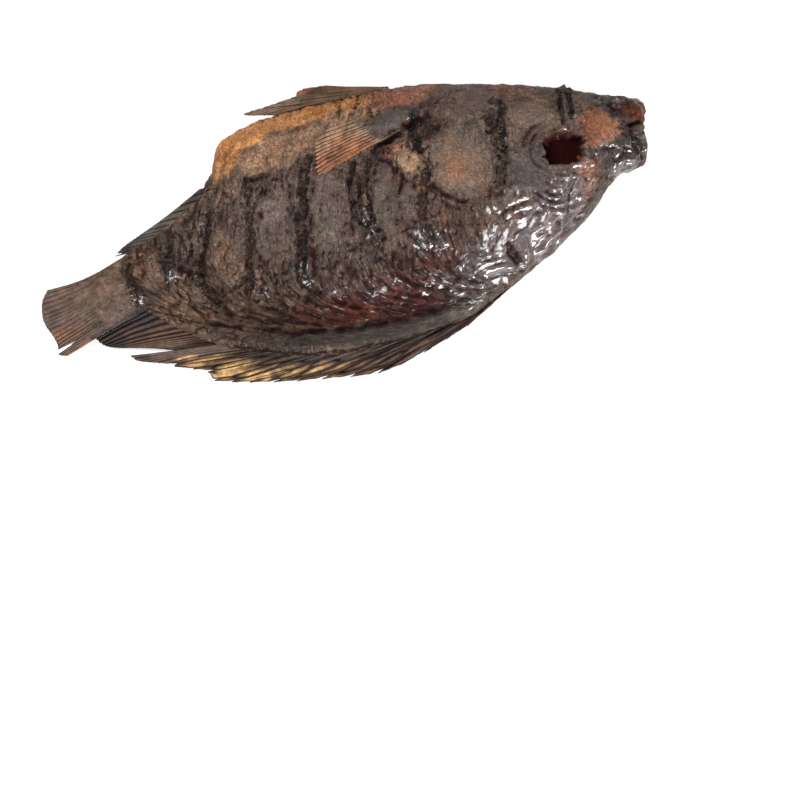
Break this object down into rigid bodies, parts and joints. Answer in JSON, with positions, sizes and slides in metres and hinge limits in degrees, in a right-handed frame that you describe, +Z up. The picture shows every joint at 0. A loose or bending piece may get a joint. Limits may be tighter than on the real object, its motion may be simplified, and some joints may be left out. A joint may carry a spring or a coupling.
{
  "type": "smoked fish",
  "caption": "Whole smoked tilapia lying on its side, with ribbed fins folded back, an open burnt-out eye, a shut mouth and a flat place underneath to rest on.",
  "frame": {"origin": "middle of the footprint, on the surface the fish lies on", "axes": "+X towards the head, -Y towards the back, +Y towards the belly, +Z up out of the left flank"},
  "size_m": [0.274, 0.1288, 0.0365],
  "materials": {
    "smoked_skin": "oily smoked skin, grey-brown with charred bars and an orange belly edge"
  },
  "bodies": {
    "root": {"smoked_fish": "smoked_skin"}
  },
  "joints": []
}
